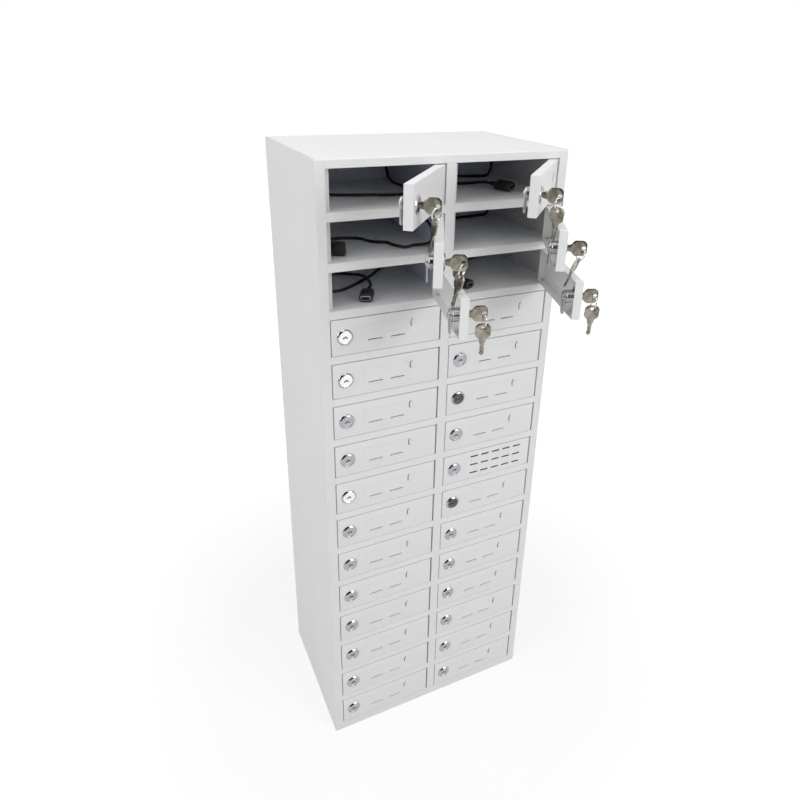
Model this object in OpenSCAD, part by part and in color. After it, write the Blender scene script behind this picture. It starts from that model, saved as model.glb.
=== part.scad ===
// Cell phone locker box: thirty small lockable compartments, two columns of fifteen, in a steel cabinet.
// Millimetres. X runs right, Y runs back and Z runs up. The origin is the centre of the cabinet's base.
// The doors of the top three rows stand open with their keys in, and all the others are shut.

/* [Cabinet] */
// Width over the side panels
body_w = 375; // [350:1:420]
// Height over the top panel
body_h = 1000; // [950:1:1100]
// Depth from the front face to the rear cover
body_d = 243; // [225:1:300]
// Thickness of the cabinet's folded sheet
sheet = 1.2; // [1:0.1:1.4]
// Width of each front stile and of the mullion
stile_w = 14.1; // [13.5:0.1:17]
// Height of the rail above the top row
top_rail = 11.3; // [10:0.1:16]
// Height of the rail below the bottom row
bottom_rail = 16.3; // [14:0.1:24]
// Height of the rail between two rows
rail_h = 11.6; // [10:0.1:14]
// Depth from the front face to the flanges that the doors close against
return_depth = 12.4; // [12.2:0.1:14]
// Width of the closing flange on the lock side, which the cam turns behind
lock_stop_w = 8.5; // [7:0.1:9]
// Width of the closing flange on the hinge side
hinge_stop_w = 4.5; // [3:0.1:4.8]
// Depth of the wiring space behind the compartments
duct_depth = 30; // [20:1:40]
// Outside radius of the cabinet's long front bends
fold_r = 1.6; // [1.5:0.1:2.5]
// Width of the joint between the top panel and a side panel
seam = 0.9; // [0.3:0.1:0.9]
// Width of the flanges that the rear cover is screwed to
rear_flange_w = 15; // [12:1:20]

/* [Shelves] */
// Thickness of a shelf
shelf_t = 1; // [0.8:0.1:1.2]

/* [Doors] */
// Thickness of a door over its edge flanges
door_t = 11; // [10:0.1:11.2]
// Thickness of a door's sheet
door_sheet = 1; // [0.8:0.1:1.2]
// Outside radius of a door's upright front bends
door_fold_r = 1.8; // [1.6:0.1:2.2]
// Gap at the lock side of a shut door
gap_lock = 0.8; // [0.6:0.1:1.2]
// Gap at the hinge side of a shut door, wide enough for the edge to swing
gap_hinge = 2; // [1.9:0.1:2.6]
// Gap above and below a shut door
gap_rail = 0.75; // [0.5:0.05:1]

/* [Hinges] */
// Radius of a hinge pin
pin_r = 1.5; // [1.2:0.1:1.6]
// Play between a pin and its hole in the door
pin_play = 0.05; // [0.03:0.01:0.08]
// Distance from a door's hinge edge to the pin's axis
pin_in = 3.6; // [3.4:0.1:4]
// Distance from a door's front skin back to the pin's axis
pin_back = 4.8; // [4.4:0.1:5]
// Length of pin that stands into a door past its flange
pin_reach = 3; // [2:0.5:6]

/* [Locks] */
// Distance from a door's free edge to the lock's axis
lock_in = 19.3; // [18.5:0.1:24]
// Diameter of the lock's face ring
ring_d = 23; // [21:0.5:26]
// Height of the face ring off the door
ring_proud = 2.6; // [2:0.1:4]
// Height of the face ring's outer edge, below its bevel
ring_edge_h = 0.8; // [0.5:0.1:1.2]
// Width of the face ring's bevel
ring_bevel = 2.5; // [2:0.1:2.8]
// Width of the raised rim between the bevel and the flat face
ring_rim_w = 0.4; // [0.3:0.1:0.6]
// Depth of the lock's flat face below its rim
face_sink = 0.45; // [0.3:0.05:0.6]
// Diameter of the lock barrel
barrel_d = 18.4; // [17.6:0.1:19]
// Width of the barrel across its two flats
barrel_flat = 16.2; // [15.5:0.1:17]
// Length of the barrel behind the door's front skin
barrel_l = 17; // [16:0.5:19]
// Radius of the turning plug
plug_r = 6.5; // [6:0.1:7]
// Play round the turning plug
plug_play = 0.05; // [0.03:0.01:0.08]
// Width of the lock nut across its flats
nut_w = 22; // [21:0.5:24]
// Thickness of the lock nut
nut_t = 4; // [3:0.5:5]
// Reach of the cam from the lock's axis
cam_reach = 25; // [22:0.5:26]
// Radius of the cam round its drive hole
cam_hub_r = 8; // [7:0.5:8.5]
// Width of the cam's tongue
cam_w = 11; // [9:0.5:13]
// Thickness of the cam
cam_t = 2; // [1.5:0.1:2.5]
// Running gap between the barrel and the cam
cam_gap = 0.3; // [0.2:0.1:0.5]
// Width of the square drive that carries the cam
drive_w = 7; // [6:0.5:7.5]
// Radius of the cam screw's head
screw_head_r = 4.4; // [4:0.1:5]
// Height of the cam screw's head
screw_head_h = 2; // [1.5:0.1:2.5]
// Radius of the cam screw's shank
screw_r = 1.8; // [1.5:0.1:2]

/* [Keys] */
// Width of a key's bow
bow_w = 20; // [19:0.5:20.5]
// Length of a key's bow
bow_l = 19.5; // [19:0.5:20]
// Radius of the curve that rounds the bow's corners
bow_round_r = 11.3; // [11:0.1:12]
// Thickness of a key
key_t = 2; // [1.8:0.1:2.2]
// Height of a key's blade
blade_h = 5.8; // [5.2:0.1:7]
// Length of a key from the centre of its bow to its tip
key_l = 32.3; // [30:0.1:32.5]
// Width of the tapered neck where it leaves the bow
neck_w = 10; // [9:0.1:11]
// Height of the shoulder where the neck meets the blade
shoulder_h = 7.3; // [7:0.1:8.5]
// Length of the neck past the bow's edge
neck_l = 6; // [5:0.5:6.5]
// Radius of the hole in a key's bow
key_hole_r = 2.8; // [2.7:0.1:2.9]
// Distance from the bow's centre to the centre of its hole
key_hole_out = 5.5; // [5:0.1:5.8]
// Distance from the door's front skin to the bow's centre with the key in
bow_out = 19; // [18:0.5:21]
// Clearance between a key and its keyway
key_play = 0.15; // [0.1:0.05:0.25]
// Radius of the split ring's centre line
split_ring_r = 7.7; // [7:0.1:8.5]
// Radius of the split ring's wire, of which two turns lie side by side
split_wire_r = 0.55; // [0.5:0.05:0.55]
// Gap between the split ring and the rim of a key's hole
link_gap = 0.85; // [0.75:0.05:0.95]

/* [Label holders] */
// Distance from a door's free edge to the label holder
label_in = 46; // [44:1:60]
// Width of the label holder
label_w = 71; // [60:1:80]
// Height of the label holder
label_h = 23; // [18:1:26]
// Height of the label holder's lower edge over the door's centre
label_low = -9.5; // [-12:0.5:-6]
// Length of each lower tab
tab_l = 20; // [14:1:24]
// Height of the upright tab
side_tab_h = 12; // [8:1:16]
// Width of the slot behind each tab
tab_slot = 1.2; // [0.8:0.1:1.6]
// Width of each tab
tab_w = 2.2; // [1.5:0.1:3]
// Height of each tab off the door
tab_proud = 0.8; // [0.5:0.1:1.2]

/* [Vent door] */
// Length of a vent slot
vent_l = 14.8; // [10:0.1:16]
// Height of a vent slot
vent_h = 2.8; // [2:0.1:4]
// Distance between vent slots along a row
vent_step = 20.3; // [18:0.1:22]
// Distance between rows of vent slots
vent_rise = 15.6; // [10:0.1:17]
// Distance from the door's free edge to the first vent slot
vent_in = 49; // [46:1:52]

/* [Charging leads] */
// Diameter of a lead
lead_d = 4.3; // [3:0.1:4.5]
// Distance from a compartment's right wall to its lead hole
lead_hole_in = 14; // [12:0.5:18]
// Height of a lead hole over the shelf
lead_hole_up = 40; // [36:0.5:42]
// Radius of a grommet's flange
grommet_r = 6; // [5:0.5:7]
// Radius of a grommet in its hole
grommet_neck_r = 4.2; // [3.6:0.1:4.6]
// Thickness of a grommet's flange
grommet_lip = 2; // [1.5:0.1:3]
// Length of a charging socket's housing
socket_l = 28; // [22:1:28]
// Width of a charging socket's housing
socket_w = 19; // [16:0.5:19]
// Height of a charging socket's housing
socket_h = 12; // [10:0.1:12]
// Length of the tapered relief behind the housing
relief_l = 12; // [8:1:12]
// Width of the metal mouth
mouth_w = 13; // [12.5:0.1:13.4]
// Height of the metal mouth
mouth_h = 5.6; // [5.2:0.1:6]
// Wall of the metal mouth
mouth_wall = 0.4; // [0.3:0.1:0.5]
// Depth of the metal mouth
mouth_depth = 12; // [10:1:14]

/* [Power unit] */
// Width of the charging unit
unit_w = 120; // [90:1:130]
// Depth of the charging unit
unit_d = 80; // [60:1:90]
// Height of the charging unit
unit_h = 34; // [26:1:38]
// Distance from the compartment's back wall to the charging unit
unit_back = 24; // [20:1:40]
// Height of the charging unit's feet
unit_foot_h = 3; // [2:0.5:5]
// Radius of the charging unit's feet
unit_foot_r = 6; // [4:0.5:8]
// Ports along the charging unit
unit_ports = 10; // [6:1:12]

/* [Rear cover] */
// Distance between wall fixing holes, across
wall_hole_x = 260; // [200:10:300]
// Distance between wall fixing holes, up
wall_hole_z = 800; // [600:10:860]
// Radius of a wall fixing hole
wall_hole_r = 4; // [3:0.5:5]
// Gap round the rear cover
cover_gap = 0.4; // [0.3:0.1:0.8]
// Radius of a cover screw's head
cover_screw_r = 3; // [2.4:0.1:3.6]
// Length of a cover screw past its flange
cover_screw_out = 4; // [2:0.5:6]
// Radius of a cover screw's shank
cover_shank_r = 1.5; // [1.2:0.1:1.8]
// Width of the mains inlet's body
inlet_w = 27; // [24:1:30]
// Height of the mains inlet's body
inlet_h = 20; // [18:1:24]

/* [Hidden] */
ROWS = 15;
OPEN_ROWS = 3;
VENT_ROW = 8;
LEFT = 0;
RIGHT = 1;
COLUMNS = [LEFT, RIGHT];
column_letters = ["L", "R"];
// Angles that the six open doors stand at, left column and right column, top row first
open_angles = [[50, 63, 75], [46, 61, 71]];
door_limit = 95;
// How each hanging spare lies: turn of its ring, turn of its key, lean towards the door
spare_lies = [[[-31, -31, 9], [-30, -36, 12], [8, -8, 1]], [[-31, 5, 4], [24, 36, 21], [8, -8, 3]]];
// Turn of each charging socket about its own length, from lying flat
socket_rolls = [[0, 90, 0], [15, 0, 0]];
// Gap between a charging socket and the shelf
socket_lift = 0.2;
// Compartment that the routes were drawn in: its width and depth from the lead hole, and the hole's height
route_w = 171.7;
route_d = 200.8;
route_h = 38;
cut = 1;
weld = 0.4;
// Gap that keeps two clamped pieces apart as solids of their own
seat = 0.03;

front_y = -body_d/2;
back_y = body_d/2;
stop_y = front_y + return_depth;
wall_y = back_y - duct_depth - sheet;
open_w = (body_w - 3*stile_w)/2;
open_h = (body_h - top_rail - bottom_rail - (ROWS - 1)*rail_h)/ROWS;
row_pitch = open_h + rail_h;
door_w = open_w - gap_lock - gap_hinge;
door_h = open_h - 2*gap_rail;
hinge_y = front_y + pin_back;
// Door coordinates: the origin is on the pin's axis at mid height, the skin faces -Y, the free edge is at -X
edge_x = pin_in;
free_x = pin_in - door_w;
skin_y = -pin_back;
rear_skin_y = door_t - pin_back;
lock_x = free_x + lock_in;
lock_hub_y = skin_y + barrel_l + cam_gap;

function open_left(c) = -body_w/2 + stile_w + c*(open_w + stile_w);
function open_right(c) = open_left(c) + open_w;
function hinge_x(c) = open_right(c) - gap_hinge - pin_in;
function row_z(r) = body_h - top_rail - open_h/2 - (r - 1)*row_pitch;
function floor_z(r) = row_z(r) - open_h/2;
function wall_left(c) = c == LEFT ? -body_w/2 + sheet : sheet/2;
function wall_right(c) = c == LEFT ? -sheet/2 : body_w/2 - sheet;
function is_open(r) = r <= OPEN_ROWS;
function rest_angle(c, r) = is_open(r) ? open_angles[c][r - 1] : 0;
function cell_name(c, r) = str(column_letters[c], r < 10 ? "0" : "", r);
function door_name(c, r) = str("door_", cell_name(c, r));
function core_name(c, r) = str("lock_core_", cell_name(c, r));
function key_name(c, r) = str("key_", cell_name(c, r));
function spare_name(c, r) = str("spare_key_", cell_name(c, r));

// Routes of the six leads, from the hole in each compartment's back right corner to the socket's relief.
// Each point is given to the right, to the back, and up from a lead that lies on the shelf
lead_routes = [
    [
        [[0, -10, 38], [0, -18, 32], [1, -21, 18], [1, -28, 5], [2, -46, 0], [2, -104, 0], [-6, -130, 0],
         [-34, -138, 0], [-66, -129, 0], [-104, -119, 0], [-130, -102, 0], [-143, -76, 3], [-146, -56, 4]],
        [[0, -12, 38], [2, -100, 37], [1, -166, 34], [0, -186, 28], [-1, -193, 17], [-2, -186, 6],
         [-7, -174, 1], [-20, -171, 0], [-35, -176, 0], [-45, -162, 0], [-50, -144, 0], [-68, -132, 0],
         [-80, -110, 0], [-104, -100, 0], [-132, -104, 0], [-157, -119, 0], [-168, -137, 2],
         [-169.3, -152, 5], [-166.2, -161, 7], [-160, -164.3, 7.5]],
        [[0, -12, 38], [0, -24, 31], [-2, -34, 15], [-10, -47, 2], [-28, -62, 0], [-60, -96, 0],
         [-116, -138, 0], [-146, -134, 0], [-152, -100, 0], [-132, -68, 0], [-104, -62, 1],
         [-84, -80, 3], [-71, -105, 6], [-72, -137, 4], [-83, -158.4, 4]]
    ],
    [
        [[0, -12, 38], [0, -24, 31], [-3, -34, 15], [-14, -40, 2], [-44, -30, 0], [-84, -22, 0],
         [-120, -26, 0], [-134, -46, 0], [-117, -66, 0], [-92, -84, 0], [-74, -98, 2], [-62, -110, 4.5],
         [-57, -124, 5]],
        [[0, -12, 38], [0, -22, 32], [-1, -30, 16], [-7, -34, 2], [-34, -36, 0], [-98, -44, 0],
         [-126, -56, 0], [-141, -65, 1], [-148, -82, 3], [-150, -100, 4]],
        [[0, -12, 38], [0, -24, 31], [-3, -34, 15], [-12, -46, 2], [-40, -58, 0], [-80, -72, 0],
         [-118, -94, 0], [-142, -118, 1], [-147, -139, 4], [-139.3, -157.5, 4]]
    ]
];

module round_edge_2d(r) {
    difference() {
        translate([-cut, -cut]) square(r + cut);
        translate([r, r]) circle(r, $fn = 48);
    }
}

// A stile in plan, for a wall on its left and an opening on its right, from the front left corner
module stile_plan(stop_w) {
    difference() {
        square([stile_w, sheet]);
        round_edge_2d(fold_r);
    }
    translate([stile_w - sheet, 0]) square([sheet, return_depth + sheet]);
    translate([stile_w - sheet, return_depth]) square([sheet + stop_w, sheet]);
}

module side_plan(stop_w) {
    difference() {
        union() {
            stile_plan(stop_w);
            square([sheet, body_d]);
            translate([0, body_d - 2*sheet]) square([rear_flange_w, sheet]);
        }
        round_edge_2d(fold_r);
    }
}

module left_side_panel() {
    color("gainsboro") difference() {
        translate([-body_w/2, front_y, 0]) linear_extrude(body_h) side_plan(lock_stop_w);
        top_notch();
        top_fold();
        cover_screw_places() cylinder(r = cover_shank_r + seat, h = 4*sheet, center = true, $fn = 32);
    }
}

module right_side_panel() {
    color("gainsboro") difference() {
        translate([body_w/2, front_y, 0]) mirror([1, 0, 0]) linear_extrude(body_h) side_plan(hinge_stop_w);
        top_notch();
        top_fold();
        cover_screw_places() cylinder(r = cover_shank_r + seat, h = 4*sheet, center = true, $fn = 32);
    }
}

// Clears the side panels' closing and rear flanges below the top panel's sheet
module top_notch() {
    translate([-body_w/2 + sheet, front_y + sheet, body_h - sheet])
        cube([body_w - 2*sheet, body_d, sheet + cut]);
}

module top_fold() {
    translate([0, front_y, body_h]) rotate([0, 90, 0])
        linear_extrude(body_w + 2*cut, center = true) round_edge_2d(fold_r);
}

module top_panel() {
    inset = sheet + seam;
    color("whitesmoke") difference() {
        union() {
            translate([-body_w/2 + inset, front_y + sheet, body_h - sheet])
                cube([body_w - 2*inset, body_d - 2*sheet - cover_gap, sheet]);
            translate([open_left(LEFT), front_y, body_h - top_rail])
                cube([open_right(RIGHT) - open_left(LEFT), sheet, top_rail]);
            for (c = COLUMNS) translate([open_left(c), front_y, body_h - top_rail])
                cube([open_w, return_depth, sheet]);
        }
        top_fold();
        for (c = COLUMNS) pin_axis(c, body_h - top_rail)
            cylinder(r = pin_r, h = 4*sheet, center = true, $fn = 32);
    }
}

module base_panel() {
    color("gainsboro") {
        translate([-body_w/2 + sheet, front_y + return_depth + sheet, 0])
            cube([body_w - 2*sheet, body_d - return_depth - 3*sheet, sheet]);
        translate([open_left(LEFT), front_y, 0])
            cube([open_right(RIGHT) - open_left(LEFT), return_depth, sheet]);
        translate([open_left(LEFT) + lock_stop_w, front_y, 0])
            cube([stile_w + 2*open_w - lock_stop_w - hinge_stop_w, return_depth + 2*sheet, sheet]);
        for (side = [0, 1]) mirror([side, 0, 0]) translate([-body_w/2 + sheet, front_y + sheet, 0])
            cube([stile_w - 2*sheet, return_depth, sheet]);
        translate([open_left(LEFT), front_y, 0])
            cube([open_right(RIGHT) - open_left(LEFT), sheet, bottom_rail - shelf_t]);
    }
}

module centre_divider() {
    color("gainsboro") {
        translate([0, front_y, bottom_rail - shelf_t])
            linear_extrude(body_h - top_rail - bottom_rail + shelf_t) {
                translate([-stile_w/2, 0]) square([stile_w, sheet]);
                for (side = [[1, lock_stop_w], [-1, hinge_stop_w]]) scale([side[0], 1]) {
                    translate([stile_w/2 - sheet, 0]) square([sheet, return_depth + sheet]);
                    translate([stile_w/2 - sheet, return_depth]) square([sheet + side[1], sheet]);
                }
            }
        translate([-sheet/2, front_y + sheet, bottom_rail - shelf_t])
            cube([sheet, wall_y - front_y - sheet, body_h - top_rail - bottom_rail + shelf_t]);
        translate([-sheet/2, stop_y + sheet, sheet]) cube([sheet, wall_y - stop_y - sheet, body_h - 2*sheet]);
    }
}

module inner_back_panel() {
    color("slategray") difference() {
        translate([-body_w/2 + sheet, wall_y, sheet]) cube([body_w - 2*sheet, sheet, body_h - 2*sheet]);
        for (c = COLUMNS, r = [1:ROWS]) lead_hole(c, r)
            cylinder(r = grommet_neck_r, h = 4*sheet, center = true, $fn = 48);
    }
}

module cover_screw_places() {
    for (x = [-1, 1], k = [0:4])
        translate([x*(body_w/2 - sheet - rear_flange_w/2), back_y - 1.5*sheet,
            body_h/10 + k*body_h/5]) rotate([90, 0, 0]) children();
}

// Countersunk screws, flush with the cover
module cover_screw(play) {
    slope = (cover_screw_r - cover_shank_r)/sheet;
    translate([0, 0, -1.5*sheet - play])
        cylinder(r1 = cover_screw_r + play*(1 + slope), r2 = cover_shank_r + play, h = sheet + play,
            $fn = 32);
    translate([0, 0, -0.5*sheet - weld])
        cylinder(r = cover_shank_r + play, h = sheet + weld + cover_screw_out, $fn = 32);
}

module rear_cover() {
    color("gainsboro") difference() {
        translate([-body_w/2 + sheet + cover_gap, back_y - sheet, sheet])
            cube([body_w - 2*sheet - 2*cover_gap, sheet, body_h - 2*sheet - cover_gap]);
        cover_screw_places() cover_screw(seat);
        for (x = [-1, 1], z = [-1, 1]) translate([x*wall_hole_x/2, back_y, body_h/2 + z*wall_hole_z/2])
            rotate([90, 0, 0]) cylinder(r = wall_hole_r, h = 4*sheet, center = true, $fn = 48);
        translate([inlet_x(), back_y, inlet_z()]) cube([inlet_w, 4*sheet, inlet_h], center = true);
    }
    color("silver") cover_screw_places() cover_screw(0);
}

function inlet_x() = (wall_left(RIGHT) + wall_right(RIGHT))/2;
function inlet_z() = row_z(VENT_ROW);

// One shelf with its folded rail. The floor of the bottom row has no fold: the base's front is its rail
module shelf_plan(c) {
    translate([open_left(c), front_y]) square([open_w, return_depth]);
    translate([open_left(c) + lock_stop_w, stop_y - weld])
        square([open_w - lock_stop_w - hinge_stop_w, sheet + 2*weld]);
    translate([wall_left(c), stop_y + sheet]) square([wall_right(c) - wall_left(c), wall_y - stop_y - sheet]);
}

module shelf(c, r) {
    top = floor_z(r);
    difference() {
        union() {
            translate([0, 0, top - shelf_t]) linear_extrude(shelf_t) shelf_plan(c);
            if (r < ROWS) {
                translate([open_left(c), front_y, top - rail_h]) cube([open_w, sheet, rail_h]);
                translate([open_left(c), front_y, top - rail_h]) cube([open_w, return_depth, shelf_t]);
            }
        }
        pin_axis(c, top - rail_h/2) cylinder(r = pin_r, h = rail_h + 2*cut, center = true, $fn = 32);
    }
}

module shelves() {
    color("lightgray") for (c = COLUMNS, r = [1:ROWS]) shelf(c, r);
}

module pin_axis(c, z) {
    translate([hinge_x(c), hinge_y, z]) children();
}

// One pin serves the door above and the door below each rail
module hinge_pins() {
    stand_in = gap_rail + door_sheet + pin_reach;
    color("silver") for (c = COLUMNS) {
        for (r = [1:ROWS - 1]) pin_axis(c, floor_z(r) - rail_h/2)
            cylinder(r = pin_r, h = rail_h + 2*stand_in, center = true, $fn = 32);
        pin_axis(c, body_h - top_rail - stand_in) cylinder(r = pin_r, h = stand_in + 2*sheet, $fn = 32);
        pin_axis(c, bottom_rail - 3*shelf_t) cylinder(r = pin_r, h = stand_in + 3*shelf_t, $fn = 32);
    }
}

module place_door(c, r) {
    translate([hinge_x(c), hinge_y, row_z(r)]) rotate([0, 0, rest_angle(c, r)]) children();
}

module door_plan() {
    difference() {
        translate([free_x, skin_y]) square([door_w, door_t]);
        translate([free_x, skin_y]) round_edge_2d(door_fold_r);
        translate([edge_x, skin_y]) mirror([1, 0]) round_edge_2d(door_fold_r);
    }
}

module door_hollow_plan() {
    inner_r = door_fold_r - door_sheet;
    difference() {
        translate([free_x + door_sheet, skin_y + door_sheet]) square([door_w - 2*door_sheet, door_t]);
        translate([free_x + door_sheet, skin_y + door_sheet]) round_edge_2d(inner_r);
        translate([edge_x - door_sheet, skin_y + door_sheet]) mirror([1, 0]) round_edge_2d(inner_r);
    }
}

module door_shell(c, r) {
    difference() {
        translate([0, 0, -door_h/2]) linear_extrude(door_h) door_plan();
        translate([0, 0, -door_h/2 + door_sheet]) linear_extrude(door_h - 2*door_sheet) door_hollow_plan();
        cylinder(r = pin_r + pin_play, h = door_h + 2*cut, center = true, $fn = 32);
        place_lock() translate([0, 0, -2*door_sheet]) barrel_shape(4*door_sheet, seat);
        if (c == RIGHT && r == VENT_ROW) vents();
        else label_slots();
    }
    if (!(c == RIGHT && r == VENT_ROW)) label_tabs();
}

module vents() {
    for (i = [0:4], k = [-1:1])
        translate([free_x + vent_in + i*vent_step, skin_y, k*vent_rise]) rotate([90, 0, 0])
            linear_extrude(4*door_sheet, center = true) {
                translate([vent_h/2, 0]) circle(vent_h/2, $fn = 24);
                translate([vent_l - vent_h/2, 0]) circle(vent_h/2, $fn = 24);
                translate([vent_h/2, -vent_h/2]) square([vent_l - vent_h, vent_h]);
            }
}

lower_tab_shares = [0.12, 0.6];

function lower_tab_x(share) = free_x + label_in + share*label_w;
function side_tab_x() = free_x + label_in + label_w;
function side_tab_z() = label_low + label_h - side_tab_h;

// Slots that the lanced tabs are pressed out of
module label_slots() {
    for (share = lower_tab_shares) translate([lower_tab_x(share), skin_y - cut, label_low])
        cube([tab_l, door_sheet + 2*cut, tab_slot]);
    translate([side_tab_x(), skin_y - cut, side_tab_z()]) cube([tab_slot, door_sheet + 2*cut, side_tab_h]);
    translate([free_x + label_in - tab_slot, skin_y - cut, side_tab_z()])
        cube([tab_slot, door_sheet + 2*cut, side_tab_h/3]);
}

// Tabs that hold the label card, each a thin strip raised in front of the skin beside its slot
module label_tabs() {
    for (share = lower_tab_shares) translate([lower_tab_x(share), skin_y - tab_proud, label_low - tab_w])
        cube([tab_l, tab_proud + door_sheet/2, tab_w]);
    translate([side_tab_x() + tab_slot, skin_y - tab_proud, side_tab_z()])
        cube([tab_w, tab_proud + door_sheet/2, side_tab_h]);
}

// The barrel's section, round with two flats, along +Z
module barrel_shape(length, play) {
    linear_extrude(length) intersection() {
        circle(barrel_d/2 + play, $fn = 64);
        square([barrel_d + 2*play, barrel_flat + 2*play], center = true);
    }
}

// Lock coordinates: +Z points out of the door's front, the origin is on the skin
module place_lock() {
    translate([lock_x, skin_y, 0]) rotate([90, 0, 0]) children();
}

module lock_body() {
    difference() {
        union() {
            translate([0, 0, seat]) rotate_extrude($fn = 72) polygon([[0, 0], [ring_d/2, 0],
                [ring_d/2, ring_edge_h], [ring_d/2 - ring_bevel, ring_proud],
                [ring_d/2 - ring_bevel - ring_rim_w, ring_proud],
                [ring_d/2 - ring_bevel - ring_rim_w, ring_proud - face_sink], [0, ring_proud - face_sink]]);
            translate([0, 0, -barrel_l]) barrel_shape(barrel_l + ring_proud/2, 0);
        }
        translate([0, 0, -barrel_l - cut])
            cylinder(r = plug_r + plug_play, h = barrel_l + ring_proud + 2*cut, $fn = 64);
    }
}

module lock_nut() {
    translate([0, 0, -door_sheet - seat - nut_t]) difference() {
        cylinder(r = nut_w/sqrt(3), h = nut_t, $fn = 6);
        translate([0, 0, -cut]) cylinder(r = barrel_d/2 + plug_play, h = nut_t + 2*cut, $fn = 64);
    }
}

// The keyway of a shut door's lock lies across, and that of an open door's lock stands up
module plug(keyway_turn) {
    front = ring_proud - face_sink;
    back = -barrel_l;
    rear_end = back - cam_gap - cam_t;
    difference() {
        union() {
            translate([0, 0, back]) cylinder(r = plug_r, h = front - back, $fn = 64);
            translate([-drive_w/2, -drive_w/2, rear_end]) cube([drive_w, drive_w, back - rear_end + weld]);
        }
        rotate([0, 0, keyway_turn])
            translate([-key_t/2 - key_play, -blade_h/2 - key_play, key_tip_z() - key_play])
            cube([key_t + 2*key_play, blade_h + 2*key_play, front - key_tip_z() + key_play + cut]);
        translate([0, 0, rear_end - cut])
            cylinder(r = screw_r + seat, h = cam_t + cam_gap + cut + seat, $fn = 32);
    }
}

function key_tip_z() = bow_out - key_l;

module cam() {
    translate([0, 0, -barrel_l - cam_gap - cam_t]) linear_extrude(cam_t) difference() {
        union() {
            circle(cam_hub_r, $fn = 64);
            translate([-cam_w/2, -cam_reach + cam_w/2]) square([cam_w, cam_reach - cam_w/2]);
            translate([0, -cam_reach + cam_w/2]) circle(cam_w/2, $fn = 48);
        }
        square(drive_w + 2*seat, center = true);
    }
}

module cam_screw() {
    rear_end = -barrel_l - cam_gap - cam_t;
    translate([0, 0, rear_end - seat - screw_head_h]) cylinder(r = screw_head_r, h = screw_head_h, $fn = 48);
    translate([0, 0, rear_end - seat - weld]) cylinder(r = screw_r, h = cam_t + cam_gap + weld, $fn = 32);
}

// Everything that turns with the key: plug, cam and cam screw
module turning_parts(keyway_turn) {
    plug(keyway_turn);
    cam();
    cam_screw();
}

module door(c, r) {
    place_door(c, r) {
        color("whitesmoke") door_shell(c, r);
        color("silver") place_lock() {
            lock_body();
            lock_nut();
            if (!is_open(r)) turning_parts(90);
        }
    }
}

module lock_core(c, r) {
    color("lightsteelblue") place_door(c, r) place_lock() turning_parts(0);
}

// A key lying along +X from its bow's centre at the origin, blade towards -X, hole towards +X
tooth_shares = [0.2, 0.38, 0.54, 0.7];
tooth_depth_shares = [0.3, 0.16, 0.34, 0.22];
tooth_half = 1;

module key_shape() {
    neck_end = bow_l/2 + neck_l;
    blade_start = neck_end - weld;
    rotate([90, 0, 0]) linear_extrude(key_t, center = true) difference() {
        union() {
            intersection() {
                circle(bow_round_r, $fn = 96);
                square([bow_l, bow_w], center = true);
            }
            polygon([[-bow_l/2 + weld, -neck_w/2], [-bow_l/2 + weld, neck_w/2],
                [-neck_end, shoulder_h/2], [-neck_end, -shoulder_h/2]]);
            polygon([[-blade_start, -blade_h/2], [-blade_start, blade_h/2], [-key_l + blade_h/3, blade_h/2],
                [-key_l, blade_h/6], [-key_l, -blade_h/6], [-key_l + blade_h/3, -blade_h/2]]);
        }
        translate([key_hole_out, 0]) circle(key_hole_r, $fn = 48);
        for (i = [0:len(tooth_shares) - 1])
            translate([-neck_end - tooth_shares[i]*(key_l - neck_end), -blade_h/2]) polygon([
                [-2*tooth_half, -cut], [-tooth_half/2, tooth_depth_shares[i]*blade_h],
                [tooth_half/2, tooth_depth_shares[i]*blade_h], [2*tooth_half, -cut]]);
    }
}

// Puts a key in the lock, its length along the lock's +Z and its bow upright
module place_key() {
    place_lock() translate([0, 0, bow_out]) rotate([0, -90, 0]) rotate([-90, 0, 0]) children();
}

module key(c, r) {
    color("tan") place_door(c, r) place_key() key_shape();
}

// Spare coordinates: the origin is the centre of the inserted key's hole, the door's front is -Y, Z is up
module place_spare() {
    translate([lock_x, skin_y - bow_out - key_hole_out, 0]) children();
}

// Two turns of wire side by side
module split_ring() {
    rotate([0, 90, 0]) rotate_extrude($fn = 96) {
        for (side = [-1, 1]) translate([split_ring_r, side*split_wire_r]) circle(split_wire_r, $fn = 24);
        translate([split_ring_r, 0]) square(2*split_wire_r, center = true);
    }
}

// Depth of the ring's centre line below a hole's centre, with its wire link_gap short of the hole's rim
link_drop = sqrt(pow(key_hole_r - split_wire_r - link_gap, 2) - pow(split_wire_r, 2));

module spare_key(c, r) {
    lie = spare_lies[c][r - 1];
    color("tan") place_door(c, r) place_spare() {
        translate([0, 0, -link_drop]) rotate([lie[2], 0, 0]) {
            translate([0, 0, -split_ring_r]) rotate([0, 0, lie[0] + 90]) split_ring();
            translate([0, 0, -2*split_ring_r - link_drop - key_hole_out]) rotate([0, 0, lie[0] + lie[1] + 90])
                rotate([0, -90, 0]) key_shape();
        }
    }
}

module lead_hole(c, r) {
    translate([wall_right(c) - lead_hole_in, wall_y, floor_z(r) + lead_hole_up])
        rotate([90, 0, 0]) children();
}

module grommet(c, r) {
    lead_hole(c, r) difference() {
        union() {
            cylinder(r = grommet_r, h = grommet_lip, $fn = 48);
            translate([0, 0, -sheet]) cylinder(r = grommet_neck_r, h = sheet + weld, $fn = 48);
            translate([0, 0, -sheet - grommet_lip]) cylinder(r = grommet_r, h = grommet_lip, $fn = 48);
        }
        if (!is_open(r)) translate([0, 0, -sheet - grommet_lip - cut])
            cylinder(r = lead_d/2, h = sheet + 2*grommet_lip + 2*cut, $fn = 32);
    }
}

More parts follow.
